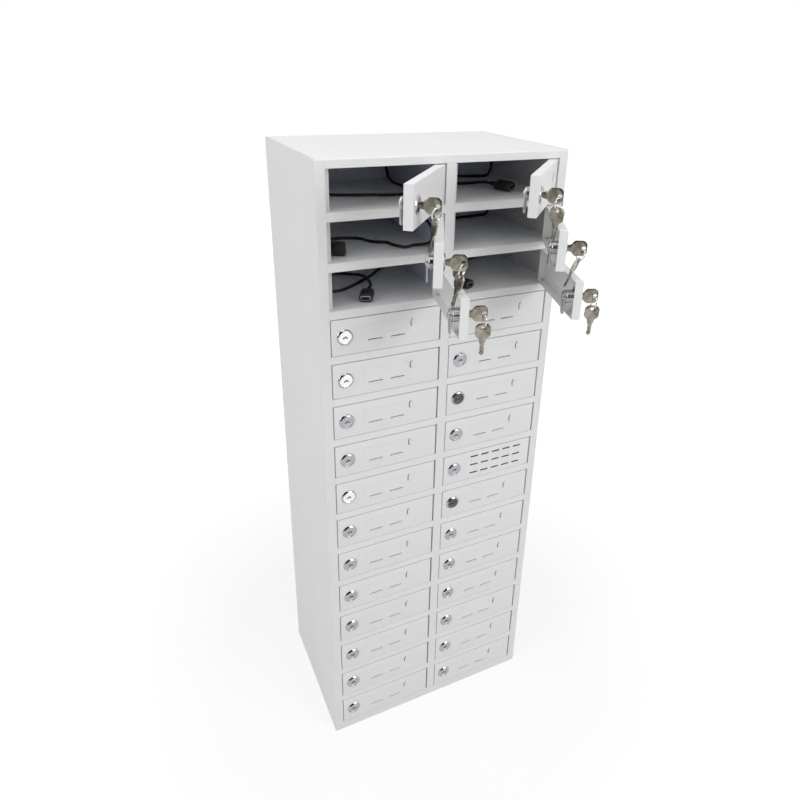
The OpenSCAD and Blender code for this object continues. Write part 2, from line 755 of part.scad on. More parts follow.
// A route in the cabinet's own coordinates, starting on its grommet's face
function lead_points(c, r) =
    let (corner = [wall_right(c) - lead_hole_in, wall_y, floor_z(r)], route = lead_routes[c][r - 1],
         last = len(route) - 1, across = (wall_right(c) - lead_hole_in - wall_left(c))/route_w,
         deep = (wall_y - front_y - door_t)/route_d, high = (lead_hole_up - lead_d/2)/route_h)
    concat([corner + [0, -grommet_lip, lead_hole_up]], [for (i = [0:last]) corner + [across*route[i][0],
        deep*route[i][1], i < last ? lead_d/2 + high*route[i][2] : socket_axis_up(socket_rolls[c][r - 1])]]);

// Height of a socket's axis over the shelf when it is turned about its length
function socket_axis_up(roll) = (socket_w/2 - socket_corner_r())*abs(sin(roll))
    + (socket_h/2 - socket_corner_r())*abs(cos(roll)) + socket_corner_r() + socket_lift;

function unit(v) = v/norm(v);
function route_heading(route, i) =
    let (a = max(i - 1, 0), b = min(i + 1, len(route) - 1)) unit(route[b] - route[a]);

// A direction that no stretch of any route follows, to square the rings of the tubes with
ring_guide = unit([3, 2, 4]);
tube_sides = 8;

function tube_ring(route, i, radius) =
    let (ahead = i == 0 ? [0, -1, 0] : route_heading(route, i),
         side = unit(cross(ahead, ring_guide)), up = cross(side, ahead))
    [for (k = [0:tube_sides - 1]) route[i] + radius*(cos(k*360/tube_sides)*side + sin(k*360/tube_sides)*up)];

module tube(route, radius) {
    n = len(route);
    points = [for (i = [0:n - 1]) each tube_ring(route, i, radius)];
    sides = [for (i = [0:n - 2], k = [0:tube_sides - 1])
        let (a = i*tube_sides + k, b = i*tube_sides + (k + 1)%tube_sides)
        each [[a, b, b + tube_sides], [a, b + tube_sides, a + tube_sides]]];
    ends = [for (k = [1:tube_sides - 2]) each [[0, k + 1, k],
        [(n - 1)*tube_sides, (n - 1)*tube_sides + k, (n - 1)*tube_sides + k + 1]]];
    polyhedron(points, concat(sides, ends), convexity = 6);
}

module charging_leads() {
    color("black") for (c = COLUMNS, r = [1:OPEN_ROWS]) tube(lead_points(c, r), lead_d/2);
}

// A charging socket lying along +X from the end of its lead
module charging_socket() {
    color("black") difference() {
        union() {
            rotate([0, 90, 0])
                cylinder(r1 = lead_d/2 + mouth_wall, r2 = socket_corner_r(), h = relief_l, $fn = 40);
            translate([relief_l, 0, 0]) rotate([90, 0, 90]) linear_extrude(socket_l) socket_outline();
        }
        translate([relief_l + socket_l - mouth_depth - seat, -mouth_w/2 - seat, -mouth_h/2 - seat])
            cube([mouth_depth + cut, mouth_w + 2*seat, mouth_h + 2*seat]);
    }
    color("silver") translate([relief_l + socket_l - mouth_depth, 0, 0]) difference() {
        translate([0, -mouth_w/2, -mouth_h/2]) cube([mouth_depth, mouth_w, mouth_h]);
        translate([mouth_wall, -mouth_w/2 + mouth_wall, -mouth_h/2 + mouth_wall])
            cube([mouth_depth, mouth_w - 2*mouth_wall, mouth_h - 2*mouth_wall]);
    }
}

socket_corner_share = 0.42;

function socket_corner_r() = socket_corner_share*socket_h;

module socket_outline() {
    corner = socket_corner_r();
    for (x = [-1, 1], y = [-1, 1]) translate([x*(socket_w/2 - corner), y*(socket_h/2 - corner)])
        circle(corner, $fn = 48);
    square([socket_w - 2*corner, socket_h], center = true);
    square([socket_w, socket_h - 2*corner], center = true);
}

module lead_fittings() {
    color("dimgray") for (c = COLUMNS, r = [1:ROWS]) grommet(c, r);
    for (c = COLUMNS, r = [1:OPEN_ROWS]) {
        route = lead_points(c, r);
        ahead = route_heading(route, len(route) - 1);
        translate(route[len(route) - 1]) rotate([0, 0, atan2(ahead[1], ahead[0])])
            rotate([socket_rolls[c][r - 1], 0, 0]) charging_socket();
    }
}

// Charging unit on the shelf behind the vented door, and the mains inlet in the rear cover behind it
module power_unit() {
    x = (wall_left(RIGHT) + wall_right(RIGHT))/2;
    y = wall_y - unit_back - unit_d/2;
    z = floor_z(VENT_ROW);
    port_step = unit_w/(unit_ports + 1);
    color("black") difference() {
        translate([x - unit_w/2, y - unit_d/2, z + unit_foot_h]) cube([unit_w, unit_d, unit_h]);
        for (i = [1:unit_ports]) translate([x - unit_w/2 + i*port_step - mouth_h/2, y - unit_d/2 - cut,
            z + unit_foot_h + unit_h/2 - mouth_w/2]) cube([mouth_h, mouth_depth + cut, mouth_w]);
    }
    color("dimgray") for (i = [-1, 1], k = [-1, 1])
        translate([x + i*(unit_w/2 - 2*unit_foot_r), y + k*(unit_d/2 - 2*unit_foot_r), z])
            cylinder(r = unit_foot_r, h = unit_foot_h - seat, $fn = 32);
    color("black") translate([inlet_x(), back_y, inlet_z()]) mains_inlet();
}

inlet_flange = 2;
inlet_depth = 20;
inlet_wall = 3;

module mains_inlet() {
    difference() {
        union() {
            translate([-inlet_w/2, -inlet_depth, -inlet_h/2]) cube([inlet_w, inlet_depth, inlet_h]);
            translate([-inlet_w/2 - inlet_wall, -sheet - inlet_flange, -inlet_h/2 - inlet_wall])
                cube([inlet_w + 2*inlet_wall, inlet_flange, inlet_h + 2*inlet_wall]);
        }
        translate([-inlet_w/2 + inlet_wall, -inlet_depth + inlet_wall, -inlet_h/2 + inlet_wall])
            cube([inlet_w - 2*inlet_wall, inlet_depth, inlet_h - 2*inlet_wall]);
    }
}

left_side_panel();
right_side_panel();
top_panel();
base_panel();
rear_cover();
inner_back_panel();
centre_divider();
shelves();
hinge_pins();
charging_leads();
lead_fittings();
power_unit();
for (c = COLUMNS, r = [1:ROWS]) door(c, r);
for (c = COLUMNS, r = [1:OPEN_ROWS]) lock_core(c, r);
for (c = COLUMNS, r = [1:OPEN_ROWS]) key(c, r);
for (c = COLUMNS, r = [1:OPEN_ROWS]) spare_key(c, r);
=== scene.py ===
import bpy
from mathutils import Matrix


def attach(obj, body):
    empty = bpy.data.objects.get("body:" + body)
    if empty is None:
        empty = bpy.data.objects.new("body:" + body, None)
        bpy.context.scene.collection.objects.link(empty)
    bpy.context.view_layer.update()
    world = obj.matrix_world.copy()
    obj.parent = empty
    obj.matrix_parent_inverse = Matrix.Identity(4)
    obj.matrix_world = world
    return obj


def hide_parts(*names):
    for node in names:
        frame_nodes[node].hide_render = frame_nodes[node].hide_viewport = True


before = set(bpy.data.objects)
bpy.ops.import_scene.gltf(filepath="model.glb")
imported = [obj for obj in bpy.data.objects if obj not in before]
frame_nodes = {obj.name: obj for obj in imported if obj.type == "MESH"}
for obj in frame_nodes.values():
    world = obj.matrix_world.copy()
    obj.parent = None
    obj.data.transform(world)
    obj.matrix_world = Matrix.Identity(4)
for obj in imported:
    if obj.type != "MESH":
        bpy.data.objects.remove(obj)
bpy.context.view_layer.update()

import bmesh
import bpy
import math
from mathutils import Matrix, Vector

# Sizes in metres, the same as in the part's source
BODY_W, BODY_H, BODY_D = 0.375, 1.0, 0.243
SHEET = 0.0012
STILE, TOP_RAIL, BOTTOM_RAIL, RAIL = 0.0141, 0.0113, 0.0163, 0.0116
DUCT = 0.030
OPEN_W = (BODY_W - 3 * STILE) / 2
OPEN_H = (BODY_H - TOP_RAIL - BOTTOM_RAIL - 14 * RAIL) / 15
PITCH = OPEN_H + RAIL
FRONT, BACK = -BODY_D / 2, BODY_D / 2
WALL_Y = BACK - DUCT - SHEET
DOOR_T, DOOR_SHEET, DOOR_FOLD = 0.011, 0.001, 0.0018
GAP_LOCK, GAP_HINGE, GAP_RAIL = 0.0008, 0.002, 0.00075
PIN_IN, PIN_BACK = 0.0036, 0.0048
DOOR_W, DOOR_H = OPEN_W - GAP_LOCK - GAP_HINGE, OPEN_H - 2 * GAP_RAIL
EDGE_X, FREE_X = PIN_IN, PIN_IN - DOOR_W
SKIN_Y, REAR_Y = -PIN_BACK, DOOR_T - PIN_BACK
LOCK_X = FREE_X + 0.0193
LABEL_X, LABEL_W, LABEL_LOW, LABEL_H = FREE_X + 0.046, 0.071, -0.0095, 0.023
# The pans stand a little out of the cabinet's front, with slightly wider gaps at the top and the lock side
PROUD, WIDER_TOP, WIDER_SIDE = 0.0003, 0.0004, 0.0004
LOCK_EDGE_R = 0.0012
ANGLES = {"L01": 50, "L02": 63, "L03": 75, "R01": 46, "R02": 61, "R03": 71}
SPARE_LIES = {"L01": (-31, -31, 9), "L02": (-30, -36, 12), "L03": (8, -8, 1),
              "R01": (-31, 5, 4), "R02": (24, 36, 21), "R03": (8, -8, 3)}
CELLS = [f"{c}{r:02d}" for c in "LR" for r in range(1, 16)]
VENT = "R08"
scene = bpy.context.scene


def column(cell):
    return "LR".index(cell[0])


def row(cell):
    return int(cell[1:])


def floor_z(cell):
    return BODY_H - TOP_RAIL - OPEN_H - (row(cell) - 1) * PITCH


def corner(cell):
    """Where a lead's hole stands over the shelf, at the compartment's back right."""
    right = -SHEET / 2 if column(cell) == 0 else BODY_W / 2 - SHEET
    return Vector((right - 0.014, WALL_Y, floor_z(cell)))


def door_place(cell):
    opening = -BODY_W / 2 + STILE + column(cell) * (OPEN_W + STILE)
    at = Vector((opening + OPEN_W - GAP_HINGE - PIN_IN, FRONT + PIN_BACK, floor_z(cell) + OPEN_H / 2))
    return Matrix.Translation(at) @ Matrix.Rotation(math.radians(ANGLES.get(cell, 0)), 4, "Z")


# Camera
def make_camera():
    az, el, roll = math.radians(26.475), math.radians(23.642), math.radians(1.70)
    ahead = Vector((math.sin(az) * math.cos(el), math.cos(az) * math.cos(el), -math.sin(el)))
    right = ahead.cross(Vector((0, 0, 1))).normalized()
    up = right.cross(ahead)
    x = math.cos(roll) * right + math.sin(roll) * up
    y = -math.sin(roll) * right + math.cos(roll) * up
    data = bpy.data.cameras.new("camera")
    data.sensor_width = 36
    data.lens = 656.714 / 800 * 36
    data.shift_x, data.shift_y = (400 - 426.332) / 800, (342.902 - 400) / 800
    data.clip_start, data.clip_end = 0.02, 50
    obj = bpy.data.objects.new("camera", data)
    turn = Matrix((x, y, -ahead)).transposed().to_4x4()
    obj.matrix_world = Matrix.Translation((-0.4179, -0.9008, 1.1172)) @ turn
    scene.collection.objects.link(obj)
    scene.camera = obj


make_camera()

# Charging leads. The points are the source's, in millimetres from each compartment's back right corner
LEAD_D = 0.0043
SOCKET_W, SOCKET_H, SOCKET_L, RELIEF_L = 0.019, 0.012, 0.028, 0.012
SOCKET_R = 0.42 * SOCKET_H
ROLLS = {"L02": 90, "R01": 15}
ROUTES = {
    "L01": [(0, -10, 38), (0, -18, 32), (1, -21, 18), (1, -28, 5), (2, -46, 0), (2, -104, 0), (-6, -130, 0),
            (-34, -138, 0), (-66, -129, 0), (-104, -119, 0), (-130, -102, 0), (-143, -76, 3), (-146, -56, 4)],
    "L02": [(0, -12, 38), (2, -100, 37), (1, -166, 34), (0, -186, 28), (-1, -193, 17), (-2, -186, 6),
            (-7, -174, 1), (-20, -171, 0), (-35, -176, 0), (-45, -162, 0), (-50, -144, 0), (-68, -132, 0),
            (-80, -110, 0), (-104, -100, 0), (-132, -104, 0), (-157, -119, 0), (-168, -137, 2),
            (-169.3, -152, 5), (-166.2, -161, 7), (-160, -164.3, 7.5)],
    "L03": [(0, -12, 38), (0, -24, 31), (-2, -34, 15), (-10, -47, 2), (-28, -62, 0), (-60, -96, 0),
            (-116, -138, 0), (-146, -134, 0), (-152, -100, 0), (-132, -68, 0), (-104, -62, 1),
            (-84, -80, 3), (-71, -105, 6), (-72, -137, 4), (-83, -158.4, 4)],
    "R01": [(0, -12, 38), (0, -24, 31), (-3, -34, 15), (-14, -40, 2), (-44, -30, 0), (-84, -22, 0),
            (-120, -26, 0), (-134, -46, 0), (-117, -66, 0), (-92, -84, 0), (-74, -98, 2), (-62, -110, 4.5),
            (-57, -124, 5)],
    "R02": [(0, -12, 38), (0, -22, 32), (-1, -30, 16), (-7, -34, 2), (-34, -36, 0), (-98, -44, 0),
            (-126, -56, 0), (-141, -65, 1), (-148, -82, 3), (-150, -100, 4)],
    "R03": [(0, -12, 38), (0, -24, 31), (-3, -34, 15), (-12, -46, 2), (-40, -58, 0), (-80, -72, 0),
            (-118, -94, 0), (-142, -118, 1), (-147, -139, 4), (-139.3, -157.5, 4)],
}


def lead_points(cell):
    """The route's points, with heights over a lead that lies on the shelf. The last height is the socket's."""
    at, roll = corner(cell), math.radians(ROLLS.get(cell, 0))
    rise = (0.040 - LEAD_D / 2) / 0.038
    points = [at + Vector((0, -0.002, 0.040))]
    points += [at + Vector((x / 1000, y / 1000, LEAD_D / 2 + rise * z / 1000)) for x, y, z in ROUTES[cell]]
    points[-1].z = (at.z + (SOCKET_W / 2 - SOCKET_R) * abs(math.sin(roll))
                    + (SOCKET_H / 2 - SOCKET_R) * abs(math.cos(roll)) + SOCKET_R + 0.0002)
    return points


def smooth_path(points, steps=6):
    """A smooth line through the points, which leaves each one in the direction of its neighbours."""
    out = []
    for i in range(len(points) - 1):
        p1, p2 = points[i], points[i + 1]
        p0 = points[i - 1] if i else p1 * 2 - p2
        p3 = points[i + 2] if i + 2 < len(points) else p2 * 2 - p1
        m1 = (p2 - p0) * 0.5 * min(1, (p2 - p1).length / max((p1 - p0).length, 1e-9))
        m2 = (p3 - p1) * 0.5 * min(1, (p2 - p1).length / max((p3 - p2).length, 1e-9))
        for k in range(steps):
            t = k / steps
            out.append(p1 * (2 * t**3 - 3 * t**2 + 1) + m1 * (t**3 - 2 * t**2 + t)
                       + p2 * (3 * t**2 - 2 * t**3) + m2 * (t**3 - t**2))
    return out + [points[-1]]


def tube_curve(name, points, radius):
    data = bpy.data.curves.new(name, "CURVE")
    data.dimensions = "3D"
    data.bevel_depth, data.bevel_resolution, data.use_fill_caps = radius, 5, True
    spline = data.splines.new("POLY")
    spline.points.add(len(points) - 1)
    for point, at in zip(spline.points, points):
        point.co = (*at, 1)
    obj = bpy.data.objects.new(name, data)
    scene.collection.objects.link(obj)
    return obj


leads = {}
for cell in ROUTES:
    leads[cell] = tube_curve(f"lead_{cell}", smooth_path(lead_points(cell)), LEAD_D / 2)


# Materials
class Paint:
    """A node material, built a step at a time."""

    def __init__(self, name):
        self.mat = bpy.data.materials.new(name)
        self.mat.use_nodes = True
        self.nodes, self.links = self.mat.node_tree.nodes, self.mat.node_tree.links
        self.shader = self.nodes["Principled BSDF"]
        self.where = self.nodes.new("ShaderNodeTexCoord").outputs["Object"]

    def set(self, **values):
        for name, value in values.items():
            self.shader.inputs[name.replace("_", " ")].default_value = value
        return self

    def noise(self, scale, detail=3):
        node = self.nodes.new("ShaderNodeTexNoise")
        node.inputs["Scale"].default_value = scale
        node.inputs["Detail"].default_value = detail
        self.links.new(self.where, node.inputs["Vector"])
        return node.outputs["Fac"]

    def ramp(self, fac, stops):
        node = self.nodes.new("ShaderNodeValToRGB")
        ramp = node.color_ramp
        while len(ramp.elements) < len(stops):
            ramp.elements.new(0.5)
        for element, (at, color) in zip(ramp.elements, stops):
            element.position = at
            element.color = color if len(color) == 4 else (*color, 1)
        self.links.new(fac, node.inputs["Fac"])
        return node.outputs["Color"]

    def span(self, fac, low, high):
        node = self.nodes.new("ShaderNodeMapRange")
        node.inputs["To Min"].default_value = low
        node.inputs["To Max"].default_value = high
        self.links.new(fac, node.inputs["Value"])
        return node.outputs["Result"]

    def along(self, axis, start, end):
        """0 at start and 1 at end, along one of the object's axes."""
        parts = self.nodes.new("ShaderNodeSeparateXYZ")
        self.links.new(self.where, parts.inputs["Vector"])
        node = self.nodes.new("ShaderNodeMapRange")
        node.inputs["From Min"].default_value = start
        node.inputs["From Max"].default_value = end
        self.links.new(parts.outputs[axis], node.inputs["Value"])
        return node.outputs["Result"]

    def mix(self, fac, a, b, how="MIX"):
        node = self.nodes.new("ShaderNodeMix")
        node.data_type, node.blend_type = "RGBA", how
        for value, socket in ((fac, node.inputs["Factor"]), (a, node.inputs[6]), (b, node.inputs[7])):
            if isinstance(value, bpy.types.NodeSocket):
                self.links.new(value, socket)
            else:
                socket.default_value = value
        return node.outputs[2]

    def color(self, socket):
        self.links.new(socket, self.shader.inputs["Base Color"])
        return self

    def rough(self, socket):
        self.links.new(socket, self.shader.inputs["Roughness"])
        return self

    def bump(self, height, distance, strength=1.0, edge=None):
        node = self.nodes.new("ShaderNodeBump")
        node.inputs["Strength"].default_value = strength
        node.inputs["Distance"].default_value = distance
        self.links.new(height, node.inputs["Height"])
        if edge:
            soft = self.nodes.new("ShaderNodeBevel")
            soft.samples = 4
            soft.inputs["Radius"].default_value = edge
            self.links.new(soft.outputs["Normal"], node.inputs["Normal"])
        self.links.new(node.outputs["Normal"], self.shader.inputs["Normal"])
        return self


def powder_coat(name, light, dark, edge=0.0006):
    """Smooth sprayed paint with a fine orange peel and a little unevenness."""
    p = Paint(name)
    p.color(p.ramp(p.noise(9, 4), [(0.3, dark), (0.7, light)]))
    p.rough(p.span(p.noise(60, 3), 0.36, 0.46))
    p.bump(p.noise(900, 2), 0.00002, 0.5, edge)
    return p.set(Specular_IOR_Level=0.42).mat


def metal(name, light, dark, rough_low, rough_high, grain=0.00001, scale=500):
    p = Paint(name)
    p.set(Metallic=1.0)
    p.color(p.ramp(p.noise(60, 4), [(0.3, dark), (0.7, light)]))
    p.rough(p.span(p.noise(scale, 4), rough_low, rough_high))
    p.bump(p.noise(scale, 3), grain, 0.6)
    return p.mat


def plastic(name, light, dark, rough_low, rough_high, scale=1200, grain=0.00003):
    p = Paint(name)
    p.color(p.ramp(p.noise(40, 3), [(0.35, dark), (0.65, light)]))
    p.rough(p.span(p.noise(200, 3), rough_low, rough_high))
    p.bump(p.noise(scale, 3), grain, 0.6)
    return p.mat


def shelf_paint():
    """Powder coat that keeps the cabinet's grey on the front rails and turns lighter and bluish further into
    the compartments: painted light and a bluish painted shade tone.
    """
    p = Paint("shelf_coat")
    base = p.ramp(p.noise(9, 4), [(0.3, (0.89, 0.89, 0.89)), (0.7, (0.91, 0.91, 0.91))])
    # Painted light and shade: lighter and bluish further in from the front rails
    painted_light_and_shade_by_depth = p.ramp(p.along("Y", -0.120, 0.05), [(0.0, (0.81, 0.81, 0.81)), (0.05, (0.81, 0.81, 0.81)),
                                                (0.25, (0.97, 0.98, 1)), (1.0, (0.95, 0.97, 1))])
    p.color(p.mix(1.0, base, painted_light_and_shade_by_depth, "MULTIPLY"))
    p.rough(p.span(p.noise(60, 3), 0.36, 0.46))
    p.bump(p.noise(900, 2), 0.00002, 0.5, 0.0005)
    return p.set(Specular_IOR_Level=0.42).mat


COAT = powder_coat("cabinet_coat", (0.72, 0.72, 0.72), (0.70, 0.70, 0.70), 0.0008)
DOOR_COAT = powder_coat("door_coat", (0.73, 0.73, 0.73), (0.71, 0.71, 0.71), 0.0003)
# A lighter, bluish copy of the cabinet's grey paint for the compartments' back walls: painted light and a
# bluish painted shade tone
INSIDE_LIGHT_AND_SHADE = powder_coat("inside_painted_light_and_shade", (0.76, 0.81, 0.94), (0.73, 0.78, 0.91))
# A darker bluish copy of the cabinet's grey paint: painted shade on the divider's sides inside the compartments
PARTITION_SHADE = powder_coat("partition_painted_shade", (0.62, 0.66, 0.75), (0.58, 0.62, 0.71))
SHELF = shelf_paint()
ZINC = metal("zinc", (0.66, 0.66, 0.66), (0.52, 0.52, 0.53), 0.28, 0.42, grain=0.00001)
CHROME = metal("nickel_plate", (0.50, 0.50, 0.52), (0.38, 0.38, 0.41), 0.08, 0.15, grain=0.000004, scale=900)
# Lighter and darker copies of the nickel plating: painted bright and dark reflections for single locks
NICKEL_PAINTED_BRIGHT = metal("nickel_painted_bright_reflection", (0.90, 0.90, 0.91), (0.84, 0.84, 0.86), 0.10, 0.18, grain=0.000004, scale=900)
NICKEL_PAINTED_DARK = metal("nickel_painted_dark_reflection", (0.14, 0.14, 0.15), (0.08, 0.08, 0.09), 0.10, 0.20, grain=0.000004, scale=900)
CAM_STEEL = metal("cam_steel", (0.56, 0.55, 0.53), (0.38, 0.37, 0.35), 0.30, 0.45, grain=0.00001)
KEY_STEEL = metal("key_steel", (0.46, 0.43, 0.36), (0.15, 0.14, 0.10), 0.20, 0.34, grain=0.00001)
RING_STEEL = metal("ring_steel", (0.85, 0.84, 0.82), (0.70, 0.69, 0.67), 0.14, 0.26, grain=0.000006)
# Near black for the keyway's walls inside the plug: painted shade in the narrow slot
KEYWAY_SHADE = plastic("keyway_painted_shade", (0.012, 0.012, 0.012), (0.006, 0.006, 0.006), 0.6, 0.8)
JACKET = plastic("lead_jacket", (0.010, 0.010, 0.012), (0.007, 0.007, 0.008), 0.36, 0.50, 900, 0.00002)
MOULDING = plastic("socket_moulding", (0.016, 0.016, 0.018), (0.011, 0.011, 0.012), 0.34, 0.48)
GASKET = plastic("grommet_rubber", (0.020, 0.020, 0.021), (0.014, 0.014, 0.014), 0.55, 0.70)
CASE = plastic("unit_case", (0.022, 0.022, 0.024), (0.015, 0.015, 0.016), 0.40, 0.55)
MOUTH = metal("mouth_steel", (0.80, 0.80, 0.82), (0.68, 0.68, 0.70), 0.16, 0.26, grain=0.000004)


def dress(node, *materials):
    """Gives a CAD node its materials. The first one covers it until some faces are given to another."""
    data = frame_nodes[node].data
    data.materials.clear()
    for material in materials:
        data.materials.append(material)
    for face in data.polygons:
        face.material_index = 0
    return data


for name in ("left_side_panel", "right_side_panel", "top_panel", "base_panel"):
    dress(name, COAT)
# The back walls take the lighter bluish copy of the paint: painted light and painted shade
dress("inner_back_panel", INSIDE_LIGHT_AND_SHADE)
dress("shelves", SHELF)
dress("hinge_pins", ZINC)
dress("power_unit", CASE)

# The divider's faces behind its front 16 mm take the darker bluish copy: painted shade inside the compartments
divider = dress("centre_divider", COAT, PARTITION_SHADE)
for face in divider.polygons:
    face.material_index = 1 if face.center.y > FRONT + 0.016 else 0
cover = dress("rear_cover", COAT, ZINC)
screws = [Vector((x * (BODY_W / 2 - SHEET - 0.0075), 0, 0.1 + 0.2 * k)) for x in (-1, 1) for k in range(5)]
for face in cover.polygons:
    near = min((Vector((face.center.x, 0, face.center.z)) - s).length for s in screws)
    face.material_index = 1 if near < 0.0031 and face.area < 0.0001 else 0


# Mesh making
def new_object(name, data):
    obj = bpy.data.objects.new(name, data)
    scene.collection.objects.link(obj)
    return obj


def to_mesh(bm, name, *materials, smooth=35):
    bmesh.ops.recalc_face_normals(bm, faces=bm.faces)
    data = bpy.data.meshes.new(name)
    bm.to_mesh(data)
    bm.free()
    for material in materials:
        data.materials.append(material)
    shade(data, smooth)
    return data


def shade(data, angle=35):
    """Smooth shading, broken at edges sharper than the angle."""
    if not data.polygons:
        return
    data.shade_smooth()
    data.set_sharp_from_angle(angle=math.radians(angle))


def applied(obj, name=None):
    """The object's mesh with its modifiers applied. The object is removed."""
    graph = bpy.context.evaluated_depsgraph_get()
    data = bpy.data.meshes.new_from_object(obj.evaluated_get(graph), depsgraph=graph)
    data.name = name or obj.name
    bpy.data.objects.remove(obj)
    return data


def box_bm(low, high, bm=None):
    bm = bm or bmesh.new()
    made = bmesh.ops.create_cube(bm, size=1)["verts"]
    for v in made:
        v.co = Vector([low[i] + (v.co[i] + 0.5) * (high[i] - low[i]) for i in range(3)])
    return bm, made


def soften(bm, test, offset, segments=3):
    edges = [e for e in bm.edges if len(e.link_faces) == 2 and test(e)]
    bmesh.ops.bevel(bm, geom=edges, offset=offset, segments=segments, profile=0.5, affect="EDGES",
                    clamp_overlap=True)


def sharp(e, angle=0.6):
    return e.calc_face_angle(0) > angle


def lathe(profile, segments=64, bm=None):
    """Turns a line of (radius, height) points round Z. Points with no radius close the form."""
    bm = bm or bmesh.new()
    rings = []
    for r, h in profile:
        if r < 1e-9:
            rings.append([bm.verts.new((0, 0, h))])
        else:
            rings.append([bm.verts.new((r * math.cos(a), r * math.sin(a), h))
                          for a in (2 * math.pi * k / segments for k in range(segments))])
    for a, b in zip(rings, rings[1:]):
        for k in range(segments):
            quad = [a[k % len(a)], a[(k + 1) % len(a)], b[(k + 1) % len(b)], b[k % len(b)]]
            face = list(dict.fromkeys(quad))
            if len(face) > 2:
                bm.faces.new(face)
    return bm


def prism(outline, low, high, bm=None, holes=()):
    """A flat outline in x and y, as thick as from low to high."""
    part = bmesh.new()
    edges = []
    for loop in (outline, *holes):
        verts = [part.verts.new((x, y, low)) for x, y in loop]
        edges += [part.edges.new((verts[i], verts[(i + 1) % len(verts)])) for i in range(len(verts))]
    bmesh.ops.triangle_fill(part, edges=edges, use_beauty=True)
    up = bmesh.ops.extrude_face_region(part, geom=part.faces[:])
    for v in (g for g in up["geom"] if isinstance(g, bmesh.types.BMVert)):
        v.co.z = high
    bmesh.ops.dissolve_limit(part, angle_limit=0.01, verts=part.verts[:], edges=part.edges[:])
    bmesh.ops.recalc_face_normals(part, faces=part.faces)
    if bm is None:
        return part
    join(bm, part)
    return bm


def circle(radius, n=40, at=(0, 0), start=0.0, sweep=2 * math.pi):
    return [(at[0] + radius * math.cos(start + sweep * k / n), at[1] + radius * math.sin(start + sweep * k / n))
            for k in range(n)]


def cut_by(obj, cutter):
    mod = obj.modifiers.new("cut", "BOOLEAN")
    mod.operation, mod.object, mod.solver = "DIFFERENCE", cutter, "EXACT"
    data = applied(obj)
    bpy.data.objects.remove(cutter)
    return data


# Doors
VENT_IN, VENT_STEP, VENT_PITCH, VENT_L, VENT_R = 0.049, 0.0203, 0.0156, 0.0148, 0.0014
DASHES, DASH_L, SLOT, HOOK = (0.12, 0.6), 0.020, 0.0012, 0.0016
BENT_HALF = 0.006


